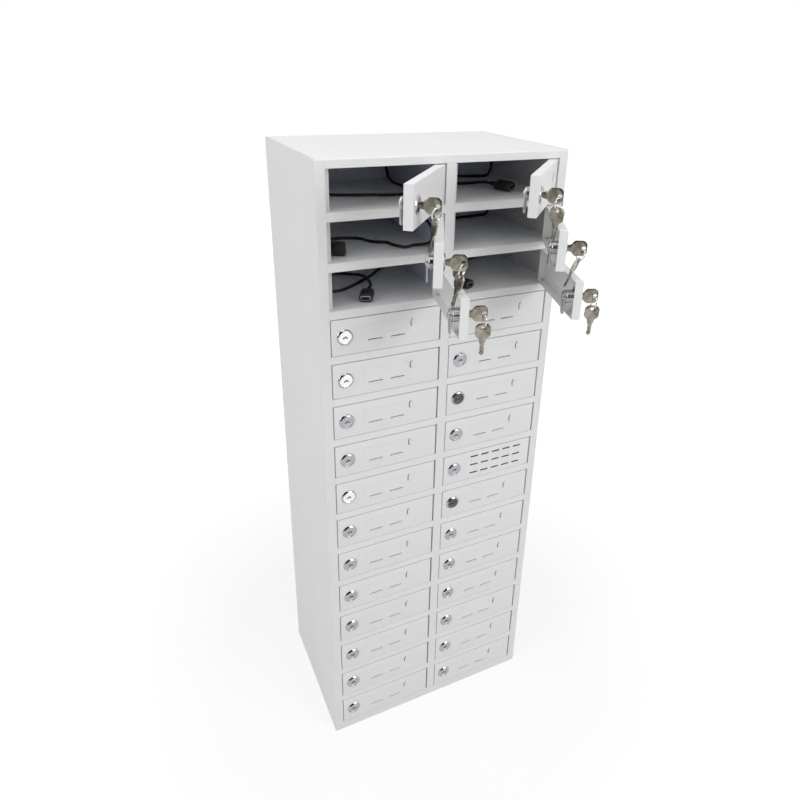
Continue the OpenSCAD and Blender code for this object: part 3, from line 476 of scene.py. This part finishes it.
def pan(vented):
    """A folded door in its own frame, hinge axis at the origin, skin facing -Y."""
    skin = SKIN_Y - PROUD
    left, top = FREE_X + WIDER_SIDE, DOOR_H / 2 - WIDER_TOP
    bm, _ = box_bm((left, skin, -DOOR_H / 2), (EDGE_X, REAR_Y, top))

    def in_front(e):
        return all(v.co.y < skin + 1e-6 for v in e.verts)

    by_pin = [e for e in bm.edges if in_front(e) and all(v.co.x > EDGE_X - 1e-6 for v in e.verts)]
    bmesh.ops.bevel(bm, geom=by_pin, offset=DOOR_FOLD, segments=5, profile=0.5, affect="EDGES")
    by_lock = [e for e in bm.edges if in_front(e) and all(v.co.x < left + 1e-6 for v in e.verts)]
    bmesh.ops.bevel(bm, geom=by_lock, offset=LOCK_EDGE_R, segments=4, profile=0.5, affect="EDGES")
    soften(bm, in_front, 0.0003, 2)
    outer = new_object("pan", to_mesh(bm, "pan"))
    t = DOOR_SHEET
    bm, _ = box_bm((left + t, skin + t, -DOOR_H / 2 + t), (EDGE_X - t, REAR_Y + 0.01, top - t))
    soften(bm, lambda e: all(v.co.y < skin + t + 1e-6 for v in e.verts), 0.0006, 2)
    outer = new_object("pan", cut_by(outer, new_object("hollow", to_mesh(bm, "hollow"))))
    bm = bmesh.new()
    if vented:
        for i in range(5):
            for k in (-1, 0, 1):
                near, z, r = FREE_X + VENT_IN + VENT_STEP * i + VENT_R, VENT_PITCH * k, VENT_R
                far = near + VENT_L - 2 * r
                ends = (circle(r, 10, (far, z), -math.pi / 2, math.pi) + [(far, z + r)]
                        + circle(r, 10, (near, z), math.pi / 2, math.pi) + [(near, z - r)])
                prism(ends, -0.004, 0.004, bm)
        bmesh.ops.rotate(bm, verts=bm.verts, cent=(0, 0, 0), matrix=Matrix.Rotation(math.pi / 2, 3, "X"))
        bmesh.ops.translate(bm, verts=bm.verts, vec=(0, skin, 0))
    else:
        for share in DASHES:
            x = LABEL_X + share * LABEL_W
            prism([(x, LABEL_LOW), (x + DASH_L, LABEL_LOW), (x + DASH_L, LABEL_LOW + SLOT),
                   (x - SLOT, LABEL_LOW + SLOT), (x - SLOT, LABEL_LOW - HOOK), (x, LABEL_LOW - HOOK)],
                  -0.003, 0.003, bm)
        x, z = LABEL_X + LABEL_W, LABEL_LOW + LABEL_H - BENT_HALF
        bent = [(x + SLOT / 2 + bow_in(t), z + BENT_HALF * t) for t in (k / 6 for k in range(-6, 7))]
        prism([(u - 0.0007, v) for u, v in bent] + [(u + 0.0006, v) for u, v in reversed(bent)],
              -0.003, 0.003, bm)
        bmesh.ops.rotate(bm, verts=bm.verts, cent=(0, 0, 0), matrix=Matrix.Rotation(math.pi / 2, 3, "X"))
        bmesh.ops.translate(bm, verts=bm.verts, vec=(0, skin, 0))
        field, _ = box_bm((LABEL_X + 0.0002, skin - 0.001, LABEL_LOW + 0.0014),
                          (x - 0.0002, skin + 0.00012, LABEL_LOW + LABEL_H))
        outer = new_object("pan", cut_by(outer, new_object("field", to_mesh(field, "field"))))
    data = cut_by(outer, new_object("slots", to_mesh(bm, "slots")))
    bm = bmesh.new()
    bm.from_mesh(data)
    if not vented:
        rise, thick = 0.0008, 0.0005
        for share in DASHES:
            x = LABEL_X + share * LABEL_W
            strip(bm, [(x - 0.0006, skin + 0.0003), (x + 0.0012, skin - rise + thick),
                       (x + 0.0188, skin - rise + thick), (x + 0.0206, skin + 0.0003)],
                  thick, LABEL_LOW - 0.0022, LABEL_LOW)
        x, z = LABEL_X + LABEL_W + SLOT, LABEL_LOW + LABEL_H - BENT_HALF
        line = [(x + bow_in(t), z + 0.0058 * t) for t in (k / 6 for k in range(-6, 7))]
        wide = [(u + 0.0012, v) for u, v in reversed(line)]
        tab = prism(line + wide, -0.0002, rise)
        bmesh.ops.rotate(tab, verts=tab.verts, cent=(0, 0, 0), matrix=Matrix.Rotation(math.pi / 2, 3, "X"))
        bmesh.ops.translate(tab, verts=tab.verts, vec=(0, skin, 0))
        join(bm, tab)
        for a, b in (((LABEL_X - 0.0009, LABEL_LOW + LABEL_H), (x - 0.004, LABEL_LOW + LABEL_H + 0.0009)),
                     ((LABEL_X - 0.0009, LABEL_LOW + 0.008), (LABEL_X, LABEL_LOW + LABEL_H))):
            rim, _ = box_bm((a[0], skin - 0.00022, a[1]), (b[0], skin + 0.0002, b[1]))
            soften(rim, lambda e: all(v.co.y < skin for v in e.verts), 0.0002, 2)
            join(bm, rim)
    return to_mesh(bm, "door_vented" if vented else "door_labelled", DOOR_COAT, smooth=30)


def bow_in(t):
    """How far the upright slot of a label holder leans back to the right, from its middle to its ends."""
    return 0.0008 * t * t + 0.0022 * max(0, t - 0.1) ** 2


def join(bm, part):
    data = bpy.data.meshes.new("part")
    part.to_mesh(data)
    part.free()
    bm.from_mesh(data)
    bpy.data.meshes.remove(data)


def strip(bm, line, thick, z0, z1):
    """A bent strip that follows a line in x and y, with its thickness towards -Y."""
    a = [bm.verts.new((x, y, z)) for z in (z0, z1) for x, y in line]
    b = [bm.verts.new((x, y - thick, z)) for z in (z0, z1) for x, y in line]
    n = len(line)
    for i in range(n - 1):
        bm.faces.new((a[i], a[i + 1], a[n + i + 1], a[n + i]))
        bm.faces.new((b[i], b[n + i], b[n + i + 1], b[i + 1]))
        bm.faces.new((a[i], b[i], b[i + 1], a[i + 1]))
        bm.faces.new((a[n + i], a[n + i + 1], b[n + i + 1], b[n + i]))
    for i in (0, n - 1):
        bm.faces.new((a[i], a[n + i], b[n + i], b[i]))


# Locks, in a frame with +Z out of the door's front and the origin on the skin
RING_R, RING_H, FACE_H = 0.0115, 0.0026, 0.00215
PLUG_R = 0.0065
BARREL_R, BARREL_FLAT, BARREL_L = 0.0092, 0.0162, 0.017


def lock_body_mesh():
    """The face ring and threaded barrel. The ring's bevel and edge are its second material."""
    bore, under = PLUG_R + 0.00005, PROUD + 0.00003
    bm = lathe([(bore, -BARREL_L), (bore, FACE_H - 0.0001), (bore + 0.0001, FACE_H), (0.00850, FACE_H),
                (0.00862, FACE_H + 0.0001), (0.00868, RING_H - 0.00008), (0.00880, RING_H), (0.0090, RING_H),
                (0.00912, RING_H - 0.00006), (RING_R - 0.00012, 0.00090), (RING_R, 0.0007), (RING_R, under),
                (BARREL_R, under)], 72)
    threads = [(BARREL_R, under), (BARREL_R, -0.0008)]
    z = -0.0008
    while z > -BARREL_L + 0.001:
        threads += [(BARREL_R, z), (BARREL_R - 0.0004, z - 0.0004), (BARREL_R, z - 0.0008)]
        z -= 0.0009
    threads += [(BARREL_R - 0.0003, -BARREL_L + 0.0003), (BARREL_R - 0.0006, -BARREL_L), (bore, -BARREL_L)]
    lathe(threads, 72, bm)
    bmesh.ops.remove_doubles(bm, verts=bm.verts, dist=1e-6)
    for v in bm.verts:
        if v.co.z < -0.0007 and abs(v.co.y) > BARREL_FLAT / 2:
            v.co.y = math.copysign(BARREL_FLAT / 2, v.co.y)
    data = to_mesh(bm, "lock_body", CHROME, CHROME, smooth=32)
    for face in data.polygons:
        face.material_index = 1 if Vector(face.center.xy).length > 0.0098 and face.center.z > 0 else 0
    return data


def nut_mesh():
    r = 0.022 / math.sqrt(3)
    bm = prism(circle(r, 6), -0.005, -0.00103, holes=[circle(BARREL_R + 0.00005, 48)])
    soften(bm, lambda e: sharp(e, 0.8) and max(Vector(v.co.xy).length for v in e.verts) > 0.0105
           and abs(e.verts[0].co.z - e.verts[1].co.z) < 1e-6, 0.0006, 2)
    return to_mesh(bm, "lock_nut", ZINC, smooth=30)


def plug_mesh(crooked):
    """The turning plug. An open door's keyway is plain and upright, a shut door's crooked and lying across."""
    bm = lathe([(0, -BARREL_L - 0.0002), (PLUG_R, -BARREL_L - 0.0002), (PLUG_R, FACE_H - 0.0001),
                (PLUG_R - 0.0001, FACE_H), (0, FACE_H)], 64)
    obj = new_object("plug", to_mesh(bm, "plug", CHROME, KEYWAY_SHADE))
    if crooked:
        way = [(-34, -19), (-9, -19), (-9, -4), (12, -4), (12, -19), (34, -19), (34, 4), (19, 4), (19, 19),
               (-15, 19), (-15, 4), (-34, 4)]
    else:
        way = [(-11.5, -30.5), (11.5, -30.5), (11.5, 30.5), (-11.5, 30.5)]
    cutter = to_mesh(prism([(x / 10000, y / 10000) for x, y in way], -0.0134, 0.004), "keyway", KEYWAY_SHADE)
    data = cut_by(obj, new_object("keyway", cutter))
    # The keyway's walls take the near-black material: painted shade
    for face in data.polygons:
        c = face.center
        face.material_index = 1 if Vector(c.xy).length < 0.0042 and -0.015 < c.z < FACE_H - 0.00002 else 0
    shade(data, 30)
    return data


def cam_mesh():
    reach, hub, half = 0.025, 0.008, 0.0055
    turn = math.acos(half / hub)
    hub_line = circle(hub, 36, start=-turn, sweep=math.pi + 2 * turn)
    outline = hub_line + [(-half, -hub * math.sin(turn))]
    outline += circle(half, 18, (0, -reach + half), math.pi, math.pi) + [(half, -reach + half)]
    drive = [(-0.00353, -0.00353), (0.00353, -0.00353), (0.00353, 0.00353), (-0.00353, 0.00353)]
    back = -BARREL_L - 0.0003 - 0.002
    bm = prism(outline, back, back + 0.002, holes=[drive])
    soften(bm, lambda e: sharp(e, 0.8) and abs(e.verts[0].co.z - e.verts[1].co.z) < 1e-6
           and max(Vector(v.co.xy).length for v in e.verts) > 0.0052, 0.0003, 2)
    box_bm((-0.0035, -0.0035, back), (0.0035, 0.0035, -BARREL_L), bm)
    lathe([(0, back - 0.002), (0.0034, back - 0.002), (0.0043, back - 0.0012), (0.0044, back - 0.0001),
           (0, back - 0.0001)], 40, bm)
    return to_mesh(bm, "cam", CAM_STEEL, smooth=30)


# Keys lie along X from the bow's centre, blade towards -X, hole towards +X, thickness along Z
BOW_W, BOW_L, BOW_ROUND, HOLE_R, HOLE_OUT = 0.020, 0.0195, 0.0113, 0.0028, 0.0055
KEY_T, KEY_L, BLADE_H, NECK_W, SHOULDER_H, NECK_L = 0.002, 0.0323, 0.0058, 0.010, 0.0073, 0.006
BOW_OUT, RING_LINE, WIRE = 0.019, 0.0077, 0.00055
LINK = math.sqrt((HOLE_R - WIRE - 0.00085) ** 2 - WIRE**2)


def bow_line(inset, n=96, start=-math.pi, sweep=2 * math.pi):
    """A round bow with its four sides flattened."""
    x, y = BOW_L / 2 - inset, BOW_W / 2 - inset
    return [(min(max(u, -x), x), min(max(v, -y), y))
            for u, v in circle(BOW_ROUND - inset, n, (0, 0), start, sweep)]


def key_mesh():
    start, half, neck = BOW_L / 2 + NECK_L, BLADE_H / 2, SHOULDER_H / 2
    turn = math.asin(NECK_W / 2 / BOW_ROUND)
    line = bow_line(0, 90, -math.pi + turn, 2 * math.pi - 2 * turn)
    line += [(-BOW_L / 2, NECK_W / 2), (-start, neck), (-start, half)]
    line += [(-KEY_L + BLADE_H / 3, half), (-KEY_L, BLADE_H / 6), (-KEY_L, -BLADE_H / 6),
             (-KEY_L + BLADE_H / 3, -half)]
    for share, depth in ((0.7, 0.22), (0.54, 0.34), (0.38, 0.16), (0.2, 0.30)):
        x = -start - share * (KEY_L - start)
        cut = -half + depth * BLADE_H
        line += [(x - 0.0013, -half), (x - 0.0005, cut), (x + 0.0005, cut), (x + 0.0013, -half)]
    line += [(-start, -half), (-start, -neck)]
    bm = prism(line, -KEY_T / 2, KEY_T / 2, holes=[circle(HOLE_R, 36, (HOLE_OUT, 0))])
    soften(bm, lambda e: sharp(e, 0.9) and abs(e.verts[0].co.z - e.verts[1].co.z) < 1e-7, 0.00018, 2)
    obj = new_object("key", to_mesh(bm, "key", KEY_STEEL))
    bm = bmesh.new()
    panel = bow_line(0.0016)
    bands = [(-0.0080, -0.0055), (-0.0048, -0.0026), (-0.0019, 0.0019)]
    for side in (-1, 1):
        low, high = sorted((side * (KEY_T / 2 - 0.0003), side * (KEY_T / 2 + 0.001)))
        for x0, x1 in bands:
            edge = max(v for u, v in panel if u <= x0 + 0.0004) if x0 < -0.0052 else BOW_W / 2 - 0.0016
            edge = min(edge, math.sqrt((BOW_ROUND - 0.0016) ** 2 - x0**2))
            box_bm((x0, -edge, low), (x1, edge, high), bm)
        groove = (0.0004, 0.0016) if side > 0 else (-0.0012, 0.0)
        box_bm((-KEY_L - 0.001, groove[0], low), (-start + 0.001, groove[1], high), bm)
    data = cut_by(obj, new_object("relief", to_mesh(bm, "relief")))
    shade(data, 30)
    return data


def split_ring_mesh():
    """Two turns of spring wire side by side, which cross over at one place."""
    turns, n = 1.94, 150
    points = []
    for k in range(n + 1):
        a = 2 * math.pi * turns * (k / n - 0.5)
        side = min(max(a / 0.3, -1), 1) * WIRE
        points.append(Vector((side, RING_LINE * math.cos(a + 0.7), RING_LINE * math.sin(a + 0.7))))
    curve = tube_curve("split_ring", points, 0.00053)
    curve.data.bevel_resolution = 3
    data = applied(curve, "split_ring")
    data.materials.clear()
    data.materials.append(RING_STEEL)
    shade(data, 50)
    return data


def with_metal(data, material):
    other = data.copy()
    other.materials[0] = material
    return other


LOCK_BODY, NUT, CAM, KEY, SPLIT = lock_body_mesh(), nut_mesh(), cam_mesh(), key_mesh(), split_ring_mesh()
PLUGS = {True: plug_mesh(False), False: plug_mesh(True)}
# Locks whose plating is a lighter or darker copy: painted reflections
LOCK_PAINTED_REFLECTIONS = {"L04": NICKEL_PAINTED_BRIGHT, "L05": NICKEL_PAINTED_BRIGHT, "L08": NICKEL_PAINTED_BRIGHT, "R06": NICKEL_PAINTED_DARK, "R09": NICKEL_PAINTED_DARK}
PANS = {False: pan(False), True: pan(True)}


def put(name, data, place, body, slot, *nodes):
    obj = new_object(name, data)
    obj.matrix_world = place
    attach(obj, body)
    if nodes:
        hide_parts(*nodes)
    return obj


to_lock = Matrix.Translation((LOCK_X, SKIN_Y, 0)) @ Matrix.Rotation(math.pi / 2, 4, "X")
key_flat = Matrix.Rotation(math.pi / 2, 4, "X")
to_key = Matrix.Translation((0, 0, BOW_OUT)) @ Matrix.Rotation(-math.pi / 2, 4, "Y") @ Matrix.Rotation(
    -math.pi / 2, 4, "X") @ key_flat
for cell in CELLS:
    place, door = door_place(cell), f"door_{cell}"
    lock = place @ to_lock
    put(f"pan_{cell}", PANS[cell == VENT], place, door, "door_paint", door)
    # Most locks keep the plain plating; the listed ones take a painted reflection
    lock_plating = LOCK_PAINTED_REFLECTIONS.get(cell, CHROME)
    put(f"lock_body_{cell}", with_metal(LOCK_BODY, lock_plating), lock, door, "lock_metal", door)
    put(f"lock_nut_{cell}", NUT, lock, door, "pin_steel", door)
    turning = f"lock_core_{cell}" if cell in ANGLES else door
    put(f"plug_{cell}", with_metal(PLUGS[cell in ANGLES], lock_plating), lock, turning, "lock_metal", turning)
    put(f"cam_{cell}", CAM, lock, turning, "lock_metal", turning)
    if cell in ANGLES:
        put(f"key_in_lock_{cell}", KEY, lock @ to_key, f"key_{cell}", "key_metal", f"key_{cell}")
        turn_ring, turn_key, lean = SPARE_LIES[cell]
        hang = (place @ Matrix.Translation((LOCK_X, SKIN_Y - BOW_OUT - HOLE_OUT, -LINK))
                @ Matrix.Rotation(math.radians(lean), 4, "X"))
        ring = (hang @ Matrix.Translation((0, 0, -RING_LINE))
                @ Matrix.Rotation(math.radians(turn_ring + 90), 4, "Z"))
        spare = (hang @ Matrix.Translation((0, 0, -2 * RING_LINE - LINK - HOLE_OUT))
                 @ Matrix.Rotation(math.radians(turn_ring + turn_key + 90), 4, "Z")
                 @ Matrix.Rotation(-math.pi / 2, 4, "Y") @ key_flat)
        put(f"split_ring_{cell}", SPLIT, ring, f"spare_key_{cell}", "key_metal", f"spare_key_{cell}")
        put(f"spare_{cell}", KEY, spare, f"spare_key_{cell}", "key_metal", f"spare_key_{cell}")


# Charging sockets, grommets and the leads' material and body
def socket_mesh():
    """A moulded housing along +X, with its ribbed relief and its metal mouth."""
    w, h, relief, length, corner_r = SOCKET_W, SOCKET_H, RELIEF_L, SOCKET_L, SOCKET_R

    def rounded(hw, hh, r, n=6):
        pts = []
        for sx, sy, a in ((1, 1, 0), (-1, 1, 90), (-1, -1, 180), (1, -1, 270)):
            pts += [(sx * (hw - r) + r * math.cos(math.radians(a + 90 * k / n)),
                     sy * (hh - r) + r * math.sin(math.radians(a + 90 * k / n))) for k in range(n + 1)]
        return pts

    bm = bmesh.new()
    stations = []
    r0 = LEAD_D / 2 + 0.0004
    for k in range(6):
        x = relief * k / 6
        r = r0 + (corner_r - 0.0002 - r0) * k / 6
        stations += [(x, r + 0.00015, r + 0.00015, r), (x + relief / 9, r + 0.00015, r + 0.00015, r),
                     (x + relief / 9 + 0.0002, r - 0.0004, r - 0.0004, r - 0.0004),
                     (x + relief / 6 - 0.0002, r - 0.0004, r - 0.0004, r - 0.0004)]
    stations += [(relief, 0.0048, 0.0048, 0.0048), (relief, 0.0078, 0.0052, 0.0044),
                 (relief + 0.0010, w / 2 - 0.0005, h / 2 - 0.0005, 0.0046),
                 (relief + 0.0026, w / 2, h / 2, corner_r),
                 (relief + length - 0.0022, w / 2, h / 2, corner_r),
                 (relief + length - 0.0007, w / 2 - 0.0005, h / 2 - 0.0005, 0.0046),
                 (relief + length, w / 2 - 0.0015, h / 2 - 0.0015, 0.0037),
                 (relief + length, 0.0066, 0.0029, 0.0005), (relief + length - 0.0118, 0.0066, 0.0029, 0.0005)]
    rings = []
    for x, hw, hh, r in stations:
        r = min(r, hw, hh)
        rings.append([bm.verts.new((x, y, z)) for y, z in rounded(hw, hh, r)])
    for a, b in zip(rings, rings[1:]):
        for k in range(len(a)):
            bm.faces.new((a[k], a[(k + 1) % len(a)], b[(k + 1) % len(a)], b[k]))
    bm.faces.new(rings[0])
    bm.faces.new(rings[-1])
    housing = to_mesh(bm, "socket_housing", MOULDING, smooth=28)
    bm = bmesh.new()
    x0, x1 = relief + length - 0.0117, relief + length - 0.00005
    outer, inner = rounded(0.0065, 0.0028, 0.0006, 3), rounded(0.0061, 0.0024, 0.0004, 3)
    loops = [[bm.verts.new((x, y, z)) for y, z in line]
             for x, line in ((x0, outer), (x1, outer), (x1, inner), (x0 + 0.0006, inner))]
    for a, b in zip(loops, loops[1:]):
        for k in range(len(a)):
            bm.faces.new((a[k], a[(k + 1) % len(a)], b[(k + 1) % len(a)], b[k]))
    bm.faces.new(loops[0])
    bm.faces.new(loops[-1])
    mouth = to_mesh(bm, "socket_mouth", MOUTH, smooth=28)
    bm, _ = box_bm((x0 + 0.0008, -0.0054, 0.0002), (x1 - 0.0010, 0.0054, 0.0018))
    soften(bm, sharp, 0.0002, 2)
    return housing, mouth, to_mesh(bm, "socket_tongue", MOULDING, smooth=28)


HOUSING, SOCKET_MOUTH, TONGUE = socket_mesh()
for cell, lead in leads.items():
    lead.data.materials.append(JACKET)
    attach(lead, "cabinet")
    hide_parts("charging_leads")
    points = lead_points(cell)
    ahead = points[-1] - points[-2]
    place = (Matrix.Translation(points[-1]) @ Matrix.Rotation(math.atan2(ahead.y, ahead.x), 4, "Z")
             @ Matrix.Rotation(math.radians(ROLLS.get(cell, 0)), 4, "X"))
    on_it = [put(f"socket_{cell}", HOUSING, place, "cabinet", "fitting_black", "lead_fittings"),
             put(f"socket_mouth_{cell}", SOCKET_MOUTH, place, "cabinet", "pin_steel", "lead_fittings"),
             put(f"socket_tongue_{cell}", TONGUE, place, "cabinet", "fitting_black", "lead_fittings")]

bm = lathe([(0.0020, -0.0032), (0.0048, -0.0032), (0.0056, -0.0030), (0.0060, -0.0024),
            (0.0060, -0.0012), (0.0042, -0.0012), (0.0042, 0.0), (0.0060, 0.0), (0.0060, 0.0010),
            (0.0056, 0.0017), (0.0048, 0.0020), (0.0026, 0.0020), (0.0020, 0.0017), (0.0020, -0.0032)], 40)
bmesh.ops.remove_doubles(bm, verts=bm.verts, dist=1e-6)
GROMMET = to_mesh(bm, "grommet", GASKET, smooth=40)
for cell in CELLS:
    at = Matrix.Translation(corner(cell) + Vector((0, 0, 0.040))) @ Matrix.Rotation(math.pi / 2, 4, "X")
    put(f"grommet_{cell}", GROMMET, at, "cabinet", "fitting_black", "lead_fittings")


# Floor, light and surroundings
def background_seen(nodes, links):
    """1 for the rays that see the background: the camera's own, reflected ones and those through glass."""
    seen = nodes.new("ShaderNodeLightPath")
    total = seen.outputs["Is Camera Ray"]
    for name in ("Is Glossy Ray", "Is Transmission Ray"):
        node = nodes.new("ShaderNodeMath")
        node.operation = "MAXIMUM"
        links.new(total, node.inputs[0])
        links.new(seen.outputs[name], node.inputs[1])
        total = node.outputs["Value"]
    return total, seen.outputs["Is Glossy Ray"]


def white_stage():
    """A floor that is white to the camera but keeps a soft shadow near the cabinet."""
    p = Paint("stage_white")
    p.color(p.ramp(p.noise(3, 2), [(0.4, (0.64, 0.64, 0.64)), (0.6, (0.66, 0.66, 0.66))]))
    p.set(Roughness=0.9)
    glow = p.nodes.new("ShaderNodeEmission")
    glow.inputs["Strength"].default_value = 1.10
    away = p.nodes.new("ShaderNodeVectorMath")
    away.operation = "LENGTH"
    p.links.new(p.where, away.inputs[0])
    glowing = p.nodes.new("ShaderNodeMapRange")
    for name, value in (("From Min", 0.35), ("From Max", 1.0), ("To Min", 0.7), ("To Max", 1.0)):
        glowing.inputs[name].default_value = value
    p.links.new(away.outputs["Value"], glowing.inputs["Value"])
    share = p.nodes.new("ShaderNodeMath")
    share.operation = "MULTIPLY"
    p.links.new(background_seen(p.nodes, p.links)[0], share.inputs[0])
    p.links.new(glowing.outputs["Result"], share.inputs[1])
    both = p.nodes.new("ShaderNodeMixShader")
    p.links.new(share.outputs["Value"], both.inputs["Fac"])
    p.links.new(p.shader.outputs["BSDF"], both.inputs[1])
    p.links.new(glow.outputs["Emission"], both.inputs[2])
    p.links.new(both.outputs["Shader"], p.nodes["Material Output"].inputs["Surface"])
    return p.mat


bm = bmesh.new()
bmesh.ops.create_grid(bm, x_segments=8, y_segments=8, size=4)
stage = new_object("floor", to_mesh(bm, "floor", white_stage()))
stage.location.z = -0.0005


def surroundings():
    """White behind the cabinet, soft grey to the light, and a room with a dark side in reflections."""
    world = bpy.data.worlds.new("studio")
    scene.world = world
    world.use_nodes = True
    nodes, links = world.node_tree.nodes, world.node_tree.links
    where = nodes.new("ShaderNodeTexCoord").outputs["Generated"]

    def mapped(value, low, high):
        node = nodes.new("ShaderNodeMapRange")
        node.inputs["From Min"].default_value, node.inputs["From Max"].default_value = low, high
        links.new(value, node.inputs["Value"])
        return node.outputs["Result"]

    def background(color, strength):
        node = nodes.new("ShaderNodeBackground")
        node.inputs["Strength"].default_value = strength
        if isinstance(color, bpy.types.NodeSocket):
            links.new(color, node.inputs["Color"])
        else:
            node.inputs["Color"].default_value = color
        return node.outputs["Background"]

    def blend(fac, a, b):
        node = nodes.new("ShaderNodeMixShader")
        for value, socket in ((fac, node.inputs["Fac"]), (a, node.inputs[1]), (b, node.inputs[2])):
            links.new(value, socket)
        return node.outputs["Shader"]

    parts = nodes.new("ShaderNodeSeparateXYZ")
    links.new(where, parts.inputs["Vector"])
    ramp = nodes.new("ShaderNodeValToRGB")
    links.new(mapped(parts.outputs["Z"], 0, 0.9), ramp.inputs["Fac"])
    ramp.color_ramp.elements[0].color = (0.42, 0.43, 0.45, 1)
    ramp.color_ramp.elements[1].color = (1, 1, 1, 1)
    facing = nodes.new("ShaderNodeVectorMath")
    facing.operation = "DOT_PRODUCT"
    facing.inputs[1].default_value = Vector((-0.66, -0.72, 0.12)).normalized()
    links.new(where, facing.inputs[0])
    shadow = mapped(facing.outputs["Value"], 0.45, 0.66)
    sky = background(ramp.outputs["Color"], 0.55)
    white, dark = background((1, 1, 1, 1), 1), background((0.03, 0.035, 0.05, 1), 1)
    shown, mirrored = background_seen(nodes, links)
    dimmed = nodes.new("ShaderNodeMath")
    dimmed.operation = "MULTIPLY"
    links.new(shadow, dimmed.inputs[0])
    links.new(mirrored, dimmed.inputs[1])
    links.new(blend(shown, sky, blend(dimmed.outputs["Value"], white, dark)),
              nodes["World Output"].inputs["Surface"])


def area_light(name, at, towards, size, power):
    data = bpy.data.lights.new(name, "AREA")
    data.shape, data.size, data.size_y = "RECTANGLE", size[0], size[1]
    data.energy = power
    obj = bpy.data.objects.new(name, data)
    obj.location = at
    obj.rotation_euler = (Vector(towards) - Vector(at)).to_track_quat("-Z", "Y").to_euler()
    scene.collection.objects.link(obj)


surroundings()
LIGHTS = (("light_above", (-0.3, -0.4, 2.6), (0, 0, 0.6), (2.2, 2.2), 21),
          ("light_front", (1.3, -2.4, 1.7), (0, 0, 0.7), (1.6, 1.7), 37),
          ("light_side", (-2.3, -0.6, 1.6), (0, 0, 0.7), (1.6, 1.6), 23))
for light in LIGHTS:
    area_light(*light)
scene.view_settings.view_transform = "Standard"
scene.view_settings.look = "None"
scene.view_settings.exposure = 0
scene.view_settings.gamma = 1
